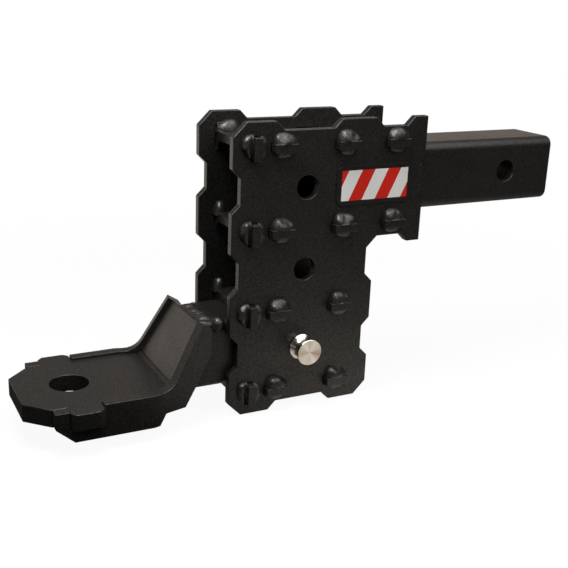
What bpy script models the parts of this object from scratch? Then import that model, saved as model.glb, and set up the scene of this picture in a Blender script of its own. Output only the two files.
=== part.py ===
"""Adjustable drop hitch: a welded drop frame, a ball mount held in its lowest pocket, and a locking hitch pin.

+X points to the vehicle, +Z up. The origin is the centre of the shank's hitch-pin hole.
"""

import math

import bmesh
import bpy
from mathutils import Vector

MM = 0.001

# Bars and pockets
BAR = 50.8 * MM  # square bar of the shank and the stem
BAR_CORNER = 7.0 * MM
POCKET_CLEAR = 3.2 * MM  # a pocket's opening over the bar's size
TOP_CLEAR = 0.6 * MM  # from a bar's top to the shelf over it
PIN_DIAMETER = 15.875 * MM
PIN_HOLE = 17.0 * MM
TOUCH_GAP = 0.3 * MM  # between pieces that are welded or rest on each other

# Drop frame
POCKETS = 3
PLATE_THICK = 6.0 * MM
SHELF_THICK = 6.0 * MM
COLUMN_TO_SHANK_HOLE = 183.0 * MM
SHANK_HOLE_TO_END = 45.7 * MM
SHANK_FRONT = 47.0 * MM
SHANK_END_CHAMFER = 1.5 * MM

# Side plate outline, measured from the top pin hole
PLATE_HALF_WIDTH = 58.4 * MM
NOTCH = 6.35 * MM  # depth of the notches, cut in at 45 degrees
TOOTH_HALF = 14.5 * MM
END_RISE = 17.1 * MM  # plate end beyond the outer tooth's middle
CORNER_CHAMFER = 10.1 * MM
END_NOTCH_HALF = 19.6 * MM
WING_EDGE = 98.6 * MM
WING_TOOTH_END = 54.4 * MM
WING_NOTCH_END = 81.0 * MM
WING_CHAMFER = 8.2 * MM
RELIEF_DEPTH = 4.0 * MM
RELIEF_HALF = 13.0 * MM
RELIEF_CHAMFER = 5.3 * MM

# Tabs and their beads
TAB_WIDTH = 18.0 * MM
TAB_PROUD = 6.0 * MM
FRONT_TAB = -20.5 * MM
REAR_TAB = 30.0 * MM
WING_TAB = 72.2 * MM
SHELF_INSET = 1.0 * MM  # from the plate's rear edge to the lower shelves
WING_SHELF_INSET = 3.6 * MM  # from the plate's relief to the upper two shelves
BEAD_LENGTH = 15.0 * MM
BEAD_REACH = 7.5 * MM
BEAD_PROUD = 5.0 * MM

# Saddle bars
SADDLE_THICK = 6.0 * MM
SADDLE_SETBACK = 13.6 * MM  # behind the plate's front edge
SADDLE_CLEAR = 0.3 * MM  # from the stem to the hollow around it
SADDLE_EAR_HALF = 10.0 * MM
SADDLE_TAB_HALF = 8.0 * MM

# Ball mount, measured from the pin hole that holds it
STEM_REAR = 42.0 * MM
BALL_PLATE_THICK = 12.7 * MM
PLATFORM_TOP = -15.2 * MM
NOSE = -203.2 * MM
NOSE_HALF = 22.5 * MM
NOSE_CORNER = 16.0 * MM
PLATFORM_HALF = 38.5 * MM
BALL_HOLE = 28.0 * MM
BALL_HOLE_X = -165.8 * MM
SIDE_TAB_FRONT = -176.8 * MM
SIDE_TAB_REAR = -153.9 * MM
SIDE_TAB_PROUD = 5.6 * MM
SIDE_TAB_CHAMFER = 3.6 * MM
BEND_START = -104.9 * MM
BEND_FACET = 3.6 * MM
RISER_ANGLE = math.radians(60.0)
RISER_LENGTH = 46.3 * MM

# Cheeks of the ball mount
CHEEK_THICK = 8.0 * MM
CHEEK_TIP = -186.7 * MM
CHEEK_BEND_LEAD = 14.1 * MM  # in front of the ball plate's bend
CHEEK_REAR_RUN = 6.8 * MM  # behind the riser's top edge
CHEEK_SILL = 9.6 * MM  # below the ball plate
CHEEK_STEP_SILL = 1.7 * MM  # the same behind the step
CHEEK_STEP_LEAD = 6.8 * MM  # in front of the ball plate's bend
CHEEK_STEP_RUN = 5.0 * MM
CHEEK_TIP_HEIGHT = 11.4 * MM
CHEEK_TIP_RUN = 12.5 * MM
CHEEK_EDGE = 14.0 * MM  # upright rear edge against the stem
CHEEK_KNEE_BACK = 16.2 * MM
CHEEK_KNEE_RISE = 11.8 * MM
CHEEK_FOOT_BACK = 24.0 * MM
RAIL_FRONT_RISE = 0.8 * MM
RAIL_RISE = 2.7 * MM
RAIL_BEND_RADIUS = 16.0 * MM

# Pin knob and lock
FLANGE_DIAMETER = 20.6 * MM
DISC_DIAMETER = 19.5 * MM
WAIST_DIAMETER = 12.0 * MM
KNOB_LENGTH = 13.4 * MM
KNOB_RIM = 3.0 * MM
KNOB_EDGE = 0.6 * MM
PIN_NECK_DIAMETER = 11.0 * MM
PIN_NECK_LENGTH = 4.0 * MM
PIN_NECK_SLOPE = 1.0 * MM
PIN_NOSE_LENGTH = 4.0 * MM
PIN_NOSE_CHAMFER = 1.8 * MM
BARREL_DIAMETER = 26.0 * MM
BARREL_LENGTH = 25.0 * MM
BARREL_BORE_DEPTH = 13.0 * MM
BARREL_CLEAR = 0.4 * MM
BARREL_EDGE = 1.0 * MM
PLUG_DIAMETER = 11.0 * MM
PLUG_LENGTH = 9.0 * MM
PLUG_EDGE = 0.5 * MM
KEY_SLOT = 1.6 * MM
KEY_SLOT_WIDTH = 7.0 * MM
CAP_WALL = 1.5 * MM
CAP_DEPTH = 9.0 * MM

# Welds and badge
SHANK_WELD_LEG = 6.0 * MM
RISER_WELD_FRONT = 1.5 * MM  # behind the riser's upper edge
RISER_WELD_REACH = 7.0 * MM
RISER_WELD_CROWN = 2.2 * MM
CHEEK_WELD_RADIUS = 2.4 * MM
BADGE_LENGTH = 64.0 * MM
BADGE_HEIGHT = 29.0 * MM
BADGE_THICK = 0.5 * MM
BADGE_CORNER = 5.0 * MM
BADGE_PLACE = (55.0 * MM, -1.0 * MM)

# Worked out from the sizes above
GAP = BAR + POCKET_CLEAR
PITCH = GAP + SHELF_THICK
SHELF_DROP = POCKET_CLEAR / 2 - TOP_CLEAR
INNER_Y = GAP / 2
OUTER_Y = INNER_Y + PLATE_THICK
TAB_Y = OUTER_Y + TAB_PROUD
BAR_HALF = BAR / 2
BAR_FLAT = BAR_HALF - BAR_CORNER
SHELF_REAR = PLATE_HALF_WIDTH - NOTCH - SHELF_INSET
RELIEF_EDGE = WING_EDGE - RELIEF_DEPTH
WING_SHELF_REAR = RELIEF_EDGE - WING_SHELF_INSET
SADDLE_FACE = SADDLE_SETBACK - PLATE_HALF_WIDTH
SADDLE_BACK = SADDLE_FACE + SADDLE_THICK
SADDLE_HALF = SHELF_THICK / 2 + TOP_CLEAR - SADDLE_CLEAR
PLATFORM_UNDER = PLATFORM_TOP - BALL_PLATE_THICK
RISER_FOOT = BEND_START + BEND_FACET * math.cos(RISER_ANGLE / 2)
CHEEK_REAR = RISER_FOOT + RISER_LENGTH * math.cos(RISER_ANGLE) + CHEEK_REAR_RUN
CHEEK_BEND = BEND_START - CHEEK_BEND_LEAD
CHEEK_INNER = PLATFORM_HALF + TOUCH_GAP
CHEEK_LEAN = (CHEEK_INNER - BAR_HALF - TOUCH_GAP) / (CHEEK_REAR - CHEEK_BEND)
CHEEK_OUTER = CHEEK_INNER + CHEEK_THICK
CHEEK_LOW = PLATFORM_UNDER - CHEEK_SILL
CHEEK_STEP = PLATFORM_UNDER - CHEEK_STEP_SILL
PIN_NOSE = OUTER_Y + BARREL_BORE_DEPTH - TOUCH_GAP
BARREL_END = OUTER_Y + TOUCH_GAP + BARREL_LENGTH
ROUND = 32
FAR = 400 * MM  # longer than any piece that a cutter passes through


def hole_z(index):
    return -index * PITCH


def tooth_z(index):
    return PITCH / 2 - index * PITCH


def shelf_z(index):
    return tooth_z(index) - SHELF_DROP


def clear_scene():
    for obj in list(bpy.data.objects):
        bpy.data.objects.remove(obj, do_unlink=True)


def material(name, colour, roughness, metallic):
    made = bpy.data.materials.new(name)
    made.use_nodes = True
    shader = made.node_tree.nodes["Principled BSDF"]
    shader.inputs["Base Color"].default_value = (*colour, 1.0)
    shader.inputs["Roughness"].default_value = roughness
    shader.inputs["Metallic"].default_value = metallic
    return made


def axis_empty(name, place, parent=None):
    empty = bpy.data.objects.new(name, None)
    empty.location = place
    empty.parent = parent
    bpy.context.collection.objects.link(empty)
    return empty


def mesh_object(name, bm, parent, finish=None):
    bmesh.ops.recalc_face_normals(bm, faces=bm.faces)
    mesh = bpy.data.meshes.new(name)
    bm.to_mesh(mesh)
    bm.free()
    obj = bpy.data.objects.new(name, mesh)
    obj.parent = parent
    if finish:
        mesh.materials.append(finish)
    bpy.context.collection.objects.link(obj)
    return obj


def add_prism(bm, outline, axis, low, high):
    """Adds an outline pushed along an axis: XZ points along Y, XY points along Z, YZ points along X."""
    place = {
        "X": lambda u, v, w: (w, u, v),
        "Y": lambda u, v, w: (u, w, v),
        "Z": lambda u, v, w: (u, v, w),
    }[axis]
    rings = [[bm.verts.new(place(u, v, w)) for u, v in outline] for w in (low, high)]
    bm.faces.new(rings[0])
    bm.faces.new(rings[1])
    for i in range(len(outline)):
        j = (i + 1) % len(outline)
        bm.faces.new((rings[0][i], rings[0][j], rings[1][j], rings[1][i]))


def prism(name, outline, axis, low, high, parent, finish=None):
    bm = bmesh.new()
    add_prism(bm, outline, axis, low, high)
    return mesh_object(name, bm, parent, finish)


def turned(name, profile, parent, finish=None, closed=False):
    """Turns (radius, y) points about the Y axis. An open profile starts and ends on the axis."""
    bm = bmesh.new()
    rings = []
    for radius, y in profile:
        if radius == 0:
            rings.append([bm.verts.new((0, y, 0))])
            continue
        angles = [2 * math.pi * i / ROUND for i in range(ROUND)]
        rings.append([bm.verts.new((radius * math.cos(a), y, radius * math.sin(a))) for a in angles])
    pairs = list(zip(rings, rings[1:]))
    if closed:
        pairs.append((rings[-1], rings[0]))
    for one, two in pairs:
        for i in range(ROUND):
            j = (i + 1) % ROUND
            corners = [one[i % len(one)], one[j % len(one)], two[j % len(two)], two[i % len(two)]]
            bm.faces.new(dict.fromkeys(corners))
    obj = mesh_object(name, bm, parent, finish)
    obj.data.shade_smooth()
    obj.data.set_sharp_from_angle(angle=math.radians(35))
    return obj


def helper(obj):
    obj.hide_render = True
    obj.display_type = "WIRE"
    return obj


def boolean(obj, other, operation):
    modifier = obj.modifiers.new(operation.title(), "BOOLEAN")
    modifier.operation = operation
    modifier.object = helper(other)
    modifier.solver = "EXACT"
    modifier.use_self = operation == "UNION"


def arc(centre, radius, start, end, steps):
    """Points on a circle, angles in degrees."""
    angles = [math.radians(start + (end - start) * i / steps) for i in range(steps + 1)]
    return [(centre[0] + radius * math.cos(a), centre[1] + radius * math.sin(a)) for a in angles]


def circle(centre, diameter):
    return arc(centre, diameter / 2, 0, 360, ROUND)[:-1]


def drill(obj, name, axis, centre, diameter, parent):
    boolean(obj, prism(name, circle(centre, diameter), axis, -FAR, FAR, parent), "DIFFERENCE")


def rounded_rectangle(half_u, half_v, radius, steps, centre=(0, 0)):
    u, v = half_u - radius, half_v - radius
    corners = ((u, v, 0), (-u, v, 90), (-u, -v, 180), (u, -v, 270))
    points = []
    for corner_u, corner_v, start in corners:
        middle = (centre[0] + corner_u, centre[1] + corner_v)
        points += arc(middle, radius, start, start + 90, steps)
    return points


def rounded_corner(before, corner, after, radius, steps):
    """Points of an arc that rounds one corner of an outline."""
    corner = Vector(corner)
    to_before = (Vector(before) - corner).normalized()
    to_after = (Vector(after) - corner).normalized()
    half_angle = to_before.angle(to_after) / 2
    centre = corner + (to_before + to_after).normalized() * radius / math.sin(half_angle)
    start = corner + to_before * radius / math.tan(half_angle) - centre
    turn = start.angle_signed(corner + to_after * radius / math.tan(half_angle) - centre)
    points = []
    for i in range(steps + 1):
        angle = -turn * i / steps
        x = start.x * math.cos(angle) - start.y * math.sin(angle)
        y = start.x * math.sin(angle) + start.y * math.cos(angle)
        points.append((centre.x + x, centre.y + y))
    return points


def plate_outline():
    """The side plate's scalloped outline in XZ, from the top left corner down, round and back."""
    top = tooth_z(0) + END_RISE
    last = POCKETS
    bottom = tooth_z(last) - END_RISE
    left, right = -PLATE_HALF_WIDTH, PLATE_HALF_WIDTH
    points = [(left + CORNER_CHAMFER, top), (left, top - CORNER_CHAMFER)]
    for i in range(last):
        points += notch_down(left, NOTCH, i)
    points += [
        (left, bottom + CORNER_CHAMFER),
        (left + CORNER_CHAMFER, bottom),
        (-END_NOTCH_HALF - NOTCH, bottom),
        (-END_NOTCH_HALF, bottom + NOTCH),
        (END_NOTCH_HALF, bottom + NOTCH),
        (END_NOTCH_HALF + NOTCH, bottom),
        (right - CORNER_CHAMFER, bottom),
        (right, bottom + CORNER_CHAMFER),
    ]
    points += notch_down(right, -NOTCH, last - 1)[::-1]
    points += wing_outline(top)
    points += [
        (END_NOTCH_HALF + NOTCH, top),
        (END_NOTCH_HALF, top - NOTCH),
        (-END_NOTCH_HALF, top - NOTCH),
        (-END_NOTCH_HALF - NOTCH, top),
    ]
    return points


def notch_down(edge, depth, index):
    """The notch below a tooth, from the top down."""
    upper = tooth_z(index) - TOOTH_HALF
    lower = tooth_z(index + 1) + TOOTH_HALF
    return [(edge, upper), (edge + depth, upper - NOTCH), (edge + depth, lower + NOTCH), (edge, lower)]


def wing_outline(top):
    """The wing that takes the shank, from the tooth below it up to the plate's top edge."""
    low = -top
    inner = PLATE_HALF_WIDTH - NOTCH
    tooth_top = tooth_z(2) + TOOTH_HALF
    return [
        (PLATE_HALF_WIDTH, tooth_top),
        (inner, tooth_top + NOTCH),
        (inner, low + NOTCH - WING_CHAMFER),
        (inner + WING_CHAMFER, low + NOTCH),
        (WING_NOTCH_END, low + NOTCH),
        (WING_NOTCH_END + NOTCH, low),
        (WING_EDGE, low),
        (WING_EDGE, -RELIEF_HALF - RELIEF_CHAMFER),
        (RELIEF_EDGE, -RELIEF_HALF),
        (RELIEF_EDGE, RELIEF_HALF),
        (WING_EDGE, RELIEF_HALF + RELIEF_CHAMFER),
        (WING_EDGE, top),
        (WING_NOTCH_END + NOTCH, top),
        (WING_NOTCH_END, top - NOTCH),
        (WING_TOOTH_END + NOTCH, top - NOTCH),
        (WING_TOOTH_END, top),
    ]


def shelf_tabs(index):
    """Middles of a shelf's tabs along X. The upper two shelves reach into the wing."""
    return (FRONT_TAB, REAR_TAB, WING_TAB) if index < 2 else (FRONT_TAB, REAR_TAB)


def tab_sections():
    """Each tab as it passes through a plate: middle x and z, half width, half height."""
    for i in range(POCKETS + 1):
        yield (SADDLE_FACE + SADDLE_BACK) / 2, shelf_z(i), SADDLE_THICK / 2, SADDLE_TAB_HALF
        for x in shelf_tabs(i):
            yield x, shelf_z(i), TAB_WIDTH / 2, SHELF_THICK / 2


def add_bead(bm, centre, half_x, half_z, side):
    """A weld bead: a stretched ball that stands out of the plate and sinks halfway into it."""
    made = bmesh.ops.create_uvsphere(bm, u_segments=8, v_segments=6, radius=1)
    for vert in made["verts"]:
        deep = BEAD_PROUD if vert.co.y * side > 0 else PLATE_THICK / 2
        vert.co = Vector(centre) + Vector((half_x * vert.co.x, deep * vert.co.y, half_z * vert.co.z))


def side_plate(name, side, parent, finish):
    """side is -1 for the right plate and 1 for the left one."""
    inner, outer = sorted((side * INNER_Y, side * OUTER_Y))
    plate = prism(name, plate_outline(), "Y", inner, outer, parent, finish)
    beads = bmesh.new()
    slots = bmesh.new()
    for x, z, half_x, half_z in tab_sections():
        upright = half_z > half_x
        for way in (-1, 1):
            if upright:
                add_bead(beads, (x + way * half_x, side * OUTER_Y, z), BEAD_REACH, BEAD_LENGTH / 2, side)
            else:
                add_bead(beads, (x, side * OUTER_Y, z + way * half_z), BEAD_LENGTH / 2, BEAD_REACH, side)
        u, v = half_x + TOUCH_GAP, half_z + TOUCH_GAP
        opening = [(x - u, z - v), (x + u, z - v), (x + u, z + v), (x - u, z + v)]
        add_prism(slots, opening, "Y", -FAR, FAR)
    for i in range(POCKETS):
        add_prism(slots, circle((0, hole_z(i)), PIN_HOLE), "Y", -FAR, FAR)
    boolean(plate, mesh_object(name + "_beads", beads, parent), "UNION")
    boolean(plate, mesh_object(name + "_slots", slots, parent), "DIFFERENCE")
    return plate


def shelf(name, index, parent, finish):
    rear = WING_SHELF_REAR if index < 2 else SHELF_REAR
    edge = INNER_Y - TOUCH_GAP
    side = [(SADDLE_BACK + TOUCH_GAP, edge)]
    for x in shelf_tabs(index):
        left, right = x - TAB_WIDTH / 2, x + TAB_WIDTH / 2
        side += [(left, edge), (left, TAB_Y), (right, TAB_Y), (right, edge)]
    side.append((rear, edge))
    outline = side + [(x, -y) for x, y in reversed(side)]
    low = shelf_z(index) - SHELF_THICK / 2
    return prism(name, outline, "Z", low, low + SHELF_THICK, parent, finish)


def saddle_edge(way):
    """Half of a saddle's hollow upper edge (way 1) or lower edge (way -1), from the middle out to the ear."""
    ear_y = BAR_HALF + SADDLE_CLEAR
    radius = BAR_CORNER - 2 * SADDLE_CLEAR
    hollow = arc((ear_y - radius, SADDLE_HALF + radius), radius, -90, 0, 6)
    edge = hollow + [(ear_y, SADDLE_EAR_HALF), (INNER_Y - TOUCH_GAP, SADDLE_EAR_HALF)]
    return [(y, way * z) for y, z in edge]


def saddle(name, index, parent, finish):
    """An upright bar across a pocket's mouth. The lowest one has a straight lower edge."""
    lower = saddle_edge(-1)
    if index == POCKETS:
        lower = lower[-1:]
    inner, half = INNER_Y - TOUCH_GAP, SADDLE_TAB_HALF
    tab = [(inner, -half), (TAB_Y, -half), (TAB_Y, half), (inner, half)]
    right = lower + tab + saddle_edge(1)[::-1]
    outline = right + [(-y, z) for y, z in reversed(right)]
    outline = [(y, z + shelf_z(index)) for y, z in outline]
    return prism(name, outline, "X", SADDLE_FACE, SADDLE_BACK, parent, finish)


def shank(parent, finish):
    rear = COLUMN_TO_SHANK_HOLE + SHANK_HOLE_TO_END
    outline = rounded_rectangle(BAR_HALF, BAR_HALF, BAR_CORNER, 5)
    bar = prism("shank", outline, "X", SHANK_FRONT, rear, parent, finish)
    bevel = bar.modifiers.new("End chamfer", "BEVEL")
    bevel.width = SHANK_END_CHAMFER
    bevel.segments = 1
    bevel.limit_method = "ANGLE"
    bevel.angle_limit = math.radians(60)
    drill(bar, "shank_hole", "Y", (COLUMN_TO_SHANK_HOLE, 0), PIN_HOLE, parent)
    return bar


def shank_welds(parent, finish):
    """Fillets where the shank leaves the plates' reliefs and the two upper shelves."""
    face = BAR_HALF + TOUCH_GAP
    edge = RELIEF_EDGE + TOUCH_GAP
    half = RELIEF_HALF - TOUCH_GAP
    for name, side in (("shank_weld_right", -1), ("shank_weld_left", 1)):
        near, away = side * face, side * (face + SHANK_WELD_LEG)
        outline = [(edge, near), (edge + SHANK_WELD_LEG, near), (edge, away)]
        prism(name, outline, "Z", -half, half, parent, finish)
    behind = WING_SHELF_REAR + TOUCH_GAP
    above = shelf_z(0) + SHELF_THICK / 2
    below = shelf_z(1) - SHELF_THICK / 2
    for name, near, away in (("shank_weld_top", face, above), ("shank_weld_bottom", -face, below)):
        outline = [(behind, near), (behind + SHANK_WELD_LEG, near), (behind, away)]
        prism(name, outline, "Y", -BAR_FLAT, BAR_FLAT, parent, finish)


def badge(parent, finish):
    outline = rounded_rectangle(BADGE_LENGTH / 2, BADGE_HEIGHT / 2, BADGE_CORNER, 5, BADGE_PLACE)
    face = -OUTER_Y - TOUCH_GAP
    return prism("wing_badge", outline, "Y", face - BADGE_THICK, face, parent, finish)


def riser_line():
    """The ball plate's upper surface in XZ: nose, start and end of the bend, top of the riser."""
    half_turn = RISER_ANGLE / 2
    bend = Vector((BEND_START, PLATFORM_TOP))
    riser = bend + BEND_FACET * Vector((math.cos(half_turn), math.sin(half_turn)))
    top = riser + RISER_LENGTH * Vector((math.cos(RISER_ANGLE), math.sin(RISER_ANGLE)))
    return [Vector((NOSE, PLATFORM_TOP)), bend, riser, top]


def offset_line(points, distance):
    """The same line moved square to itself, to its right as it runs, with its corners kept sharp."""
    normals = []
    for one, two in zip(points, points[1:]):
        along = (two - one).normalized()
        normals.append(Vector((along.y, -along.x)))
    moved = [points[0] + distance * normals[0]]
    for i in range(1, len(points) - 1):
        middle = (normals[i - 1] + normals[i]).normalized()
        moved.append(points[i] + middle * distance / middle.dot(normals[i]))
    moved.append(points[-1] + distance * normals[-1])
    return moved


def cheek_inner_y(x):
    """The cheeks run parallel beside the platform, then close in on the stem."""
    if x <= CHEEK_BEND:
        return CHEEK_INNER
    return CHEEK_INNER - CHEEK_LEAN * (x - CHEEK_BEND)


def ball_plate(parent, finish):
    surface = riser_line()
    profile = surface + offset_line(surface, BALL_PLATE_THICK)[::-1]
    riser_rear = max(point.x for point in profile)
    tab = CHEEK_OUTER + SIDE_TAB_PROUD
    side = [
        (NOSE, NOSE_HALF),
        (NOSE + NOSE_CORNER, PLATFORM_HALF),
        (SIDE_TAB_FRONT, PLATFORM_HALF),
        (SIDE_TAB_FRONT, tab - SIDE_TAB_CHAMFER),
        (SIDE_TAB_FRONT + SIDE_TAB_CHAMFER, tab),
        (SIDE_TAB_REAR - SIDE_TAB_CHAMFER, tab),
        (SIDE_TAB_REAR, tab - SIDE_TAB_CHAMFER),
        (SIDE_TAB_REAR, PLATFORM_HALF),
        (CHEEK_BEND, PLATFORM_HALF),
        (riser_rear, cheek_inner_y(riser_rear) - TOUCH_GAP),
    ]
    outline = side + [(x, -y) for x, y in reversed(side)]
    plate = prism("ball_plate", outline, "Z", -FAR, FAR, parent, finish)
    section = prism("ball_plate_section", [tuple(p) for p in profile], "Y", -FAR, FAR, parent)
    boolean(plate, section, "INTERSECT")
    drill(plate, "ball_hole", "Z", (BALL_HOLE_X, 0), BALL_HOLE, parent)
    return plate


def cheek_rear_edge():
    """Upper and lower end of the cheek's upright rear edge. The rail's end is cut square to the riser."""
    rail_top = offset_line(riser_line(), -RAIL_RISE)[-1]
    upper = rail_top.y - (CHEEK_REAR - rail_top.x) / math.tan(RISER_ANGLE)
    return upper, upper - CHEEK_EDGE


def cheek_profile():
    """A cheek seen from the side: tip, slot for the ball plate's tab, rail, rear edge and lower edge."""
    slot_front = SIDE_TAB_FRONT - TOUCH_GAP
    slot_rear = SIDE_TAB_REAR + TOUCH_GAP
    slot_floor = PLATFORM_UNDER - TOUCH_GAP
    rail = PLATFORM_TOP + RAIL_FRONT_RISE
    rail_foot, rail_top = offset_line(riser_line(), -RAIL_RISE)[2:]
    climb = (rail_top - rail_foot).normalized()
    knee = rail_foot - climb * (rail_foot.y - rail) / climb.y
    upper, lower = cheek_rear_edge()
    step = BEND_START - CHEEK_STEP_LEAD
    points = [
        (CHEEK_TIP, PLATFORM_TOP),
        (slot_front, PLATFORM_TOP),
        (slot_front, slot_floor),
        (slot_rear, slot_floor),
        (slot_rear, rail),
    ]
    points += rounded_corner((slot_rear, rail), knee, rail_top, RAIL_BEND_RADIUS, 5)
    points += [
        tuple(rail_top),
        (CHEEK_REAR, upper),
        (CHEEK_REAR, lower),
        (CHEEK_REAR - CHEEK_KNEE_BACK, CHEEK_STEP + CHEEK_KNEE_RISE),
        (CHEEK_REAR - CHEEK_FOOT_BACK, CHEEK_STEP),
        (step, CHEEK_STEP),
        (step - CHEEK_STEP_RUN, CHEEK_LOW),
        (CHEEK_TIP + CHEEK_TIP_RUN, CHEEK_LOW),
        (CHEEK_TIP, PLATFORM_TOP - CHEEK_TIP_HEIGHT),
    ]
    return points


def cheek(name, side, parent, finish):
    """side is -1 for the right cheek and 1 for the left one. Its edges are cut square to its own faces."""
    inner = [(x, side * cheek_inner_y(x)) for x in (CHEEK_TIP, CHEEK_BEND, CHEEK_REAR)]
    outer = [(x, y + side * CHEEK_THICK) for x, y in inner]
    plate = prism(name, inner + outer[::-1], "Z", -FAR, FAR, parent, finish)
    section = prism(name + "_section", cheek_profile(), "Y", min(0, side * FAR), max(0, side * FAR), parent)
    for vertex in section.data.vertices:
        if vertex.co.x > CHEEK_BEND:
            vertex.co.x += CHEEK_LEAN * (abs(vertex.co.y) - cheek_inner_y(vertex.co.x))
    boolean(plate, section, "INTERSECT")
    return plate


def mount_stem(parent, finish):
    """The square bar of the ball mount. Its front is cut along the back of the riser."""
    back = offset_line(riser_line(), BALL_PLATE_THICK + TOUCH_GAP)[2:]
    climb = back[1] - back[0]
    foot = back[0] - climb * (back[0].y + BAR) / climb.y
    head = back[0] + climb * (BAR - back[0].y) / climb.y
    outline = rounded_rectangle(BAR_HALF, BAR_HALF, BAR_CORNER, 5)
    bar = prism("mount_stem", outline, "X", foot.x, STEM_REAR, parent, finish)
    front = [tuple(foot), (-FAR, foot.y), (-FAR, head.y), tuple(head)]
    boolean(bar, prism("stem_front", front, "Y", -FAR, FAR, parent), "DIFFERENCE")
    drill(bar, "stem_hole", "Y", (0, 0), PIN_HOLE, parent)
    return bar


def riser_weld(parent, finish):
    """The fat bead that fills the corner between the riser's top end and the stem."""
    along = Vector((math.cos(RISER_ANGLE), math.sin(RISER_ANGLE)))
    square = Vector((along.y, -along.x))
    top = riser_line()[-1] + along * TOUCH_GAP
    front = top + square * RISER_WELD_FRONT
    rear = Vector((top.x + square.x * BALL_PLATE_THICK + RISER_WELD_REACH, BAR_HALF + TOUCH_GAP))
    root = top + square * (top.y - rear.y) / along.x
    crown = (front + rear) / 2 + Vector((0, RISER_WELD_CROWN))
    outline = [tuple(front), tuple(root), tuple(rear), tuple(crown)]
    return prism("riser_weld", outline, "Y", -BAR_FLAT, BAR_FLAT, parent, finish)


def cheek_weld(name, side, parent, finish):
    """A half-round bead along the rear edge of a cheek, on the stem's side."""
    upper, lower = cheek_rear_edge()
    centre = (CHEEK_REAR + TOUCH_GAP + CHEEK_WELD_RADIUS, BAR_HALF + TOUCH_GAP)
    outline = [(x, side * y) for x, y in arc(centre, CHEEK_WELD_RADIUS, 0, 180, 6)]
    return prism(name, outline, "Z", lower, min(upper, BAR_FLAT), parent, finish)


def hitch_pin(parent, finish):
    """A turned pin: spool knob on the near side, plain shaft, neck and nose for the lock on the far side."""
    shaft, neck = PIN_DIAMETER / 2, PIN_NECK_DIAMETER / 2
    disc, flange, waist = DISC_DIAMETER / 2, FLANGE_DIAMETER / 2, WAIST_DIAMETER / 2
    back = -OUTER_Y - TOUCH_GAP
    front = back - KNOB_LENGTH
    profile = [
        (0, front),
        (disc - KNOB_EDGE, front),
        (disc, front + KNOB_EDGE),
        (disc, front + KNOB_RIM - KNOB_EDGE),
    ]
    hollow = KNOB_LENGTH - 2 * KNOB_RIM
    steps = 6
    for i in range(steps + 1):
        edge = (disc if i < steps / 2 else flange) - KNOB_EDGE
        depth = math.sin(math.pi * i / steps) * (edge - waist)
        profile.append((edge - depth, front + KNOB_RIM + hollow * i / steps))
    neck_end = PIN_NOSE - PIN_NOSE_LENGTH
    neck_start = neck_end - PIN_NECK_LENGTH
    profile += [
        (flange, back - KNOB_RIM + KNOB_EDGE),
        (flange, back - KNOB_EDGE),
        (flange - KNOB_EDGE, back),
        (shaft, back),
        (shaft, neck_start - PIN_NECK_SLOPE),
        (neck, neck_start),
        (neck, neck_end - PIN_NECK_SLOPE),
        (shaft, neck_end),
        (shaft, PIN_NOSE - PIN_NOSE_CHAMFER),
        (shaft - PIN_NOSE_CHAMFER, PIN_NOSE),
        (0, PIN_NOSE),
    ]
    return turned("hitch_pin", profile, parent, finish)


def lock_barrel(parent, finish):
    """The lock that slips over the pin's nose: a bore for the pin, a bore for the plug, a web between them."""
    start = OUTER_Y + TOUCH_GAP
    outer = BARREL_DIAMETER / 2
    pin_bore = PIN_DIAMETER / 2 + BARREL_CLEAR
    plug_bore = PLUG_DIAMETER / 2 + BARREL_CLEAR
    profile = [
        (0, BARREL_END - PLUG_LENGTH),
        (plug_bore, BARREL_END - PLUG_LENGTH),
        (plug_bore, BARREL_END),
        (outer - BARREL_EDGE, BARREL_END),
        (outer, BARREL_END - BARREL_EDGE),
        (outer, start + BARREL_EDGE),
        (outer - BARREL_EDGE, start),
        (pin_bore, start),
        (pin_bore, OUTER_Y + BARREL_BORE_DEPTH),
        (0, OUTER_Y + BARREL_BORE_DEPTH),
    ]
    return turned("lock_barrel", profile, parent, finish)


def lock_plug(parent, finish):
    start = BARREL_END - PLUG_LENGTH + TOUCH_GAP
    radius = PLUG_DIAMETER / 2
    profile = [
        (0, start),
        (radius, start),
        (radius, BARREL_END - PLUG_EDGE),
        (radius - PLUG_EDGE, BARREL_END),
        (0, BARREL_END),
    ]
    plug = turned("lock_plug", profile, parent, finish)
    half_u, half_v = KEY_SLOT / 2, KEY_SLOT_WIDTH / 2
    opening = [(-half_u, -half_v), (half_u, -half_v), (half_u, half_v), (-half_u, half_v)]
    slot = prism("key_slot", opening, "Y", BARREL_END - PLUG_LENGTH / 2, FAR, parent)
    boolean(plug, slot, "DIFFERENCE")
    return plug


def lock_cap(parent, finish):
    """The soft cap that keeps dirt out of the key slot."""
    inside = BARREL_DIAMETER / 2 + TOUCH_GAP
    outside = inside + CAP_WALL
    floor = BARREL_END + TOUCH_GAP
    profile = [
        (0, floor),
        (inside, floor),
        (inside, BARREL_END - CAP_DEPTH),
        (outside, BARREL_END - CAP_DEPTH),
        (outside, floor + CAP_WALL / 2),
        (outside - CAP_WALL / 2, floor + CAP_WALL),
        (0, floor + CAP_WALL),
    ]
    return turned("lock_cap", profile, parent, finish)


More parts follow.
